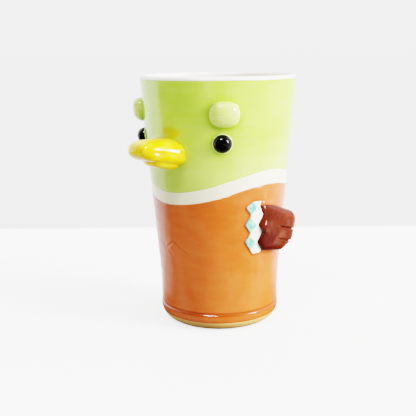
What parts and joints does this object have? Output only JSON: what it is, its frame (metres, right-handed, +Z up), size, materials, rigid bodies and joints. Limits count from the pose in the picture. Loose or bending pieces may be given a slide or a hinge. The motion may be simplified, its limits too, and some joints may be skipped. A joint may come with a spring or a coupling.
{
  "type": "drinking tumbler",
  "caption": "Tall tapered ceramic drinking tumbler glazed as a duck, with a bill, bead eyes, brow bumps, side wings and zigzag wing tiles pressed onto its wall.",
  "frame": {"origin": "centre of the foot, on the surface that the cup stands on", "axes": "+Z up through the mouth, the bill points to -Y, the bird's left wing is on +X"},
  "size_m": [0.088, 0.106, 0.14],
  "materials": {
    "bare_clay": "matt, unglazed",
    "liner_glaze": "gloss",
    "head_glaze": "gloss, translucent",
    "neck_slip": "gloss",
    "breast_glaze": "gloss, translucent",
    "bill_glaze": "gloss",
    "eye_glaze": "high gloss",
    "brow_glaze": "gloss, translucent",
    "wing_glaze": "gloss",
    "bar_glaze": "gloss",
    "diamond_glaze": "gloss"
  },
  "bodies": {
    "root": {"clay_body": "bare_clay", "liner_glaze": "liner_glaze", "head_glaze": "head_glaze", "neck_ring": "neck_slip", "breast_glaze": "breast_glaze", "upper_bill": "bill_glaze", "lower_bill": "bill_glaze", "left_eye": "eye_glaze", "right_eye": "eye_glaze", "left_brow": "brow_glaze", "right_brow": "brow_glaze", "left_wing": "wing_glaze", "right_wing": "wing_glaze", "left_wing_bar": "bar_glaze", "right_wing_bar": "bar_glaze", "left_wing_diamonds": "diamond_glaze", "right_wing_diamonds": "diamond_glaze"}
  },
  "joints": []
}
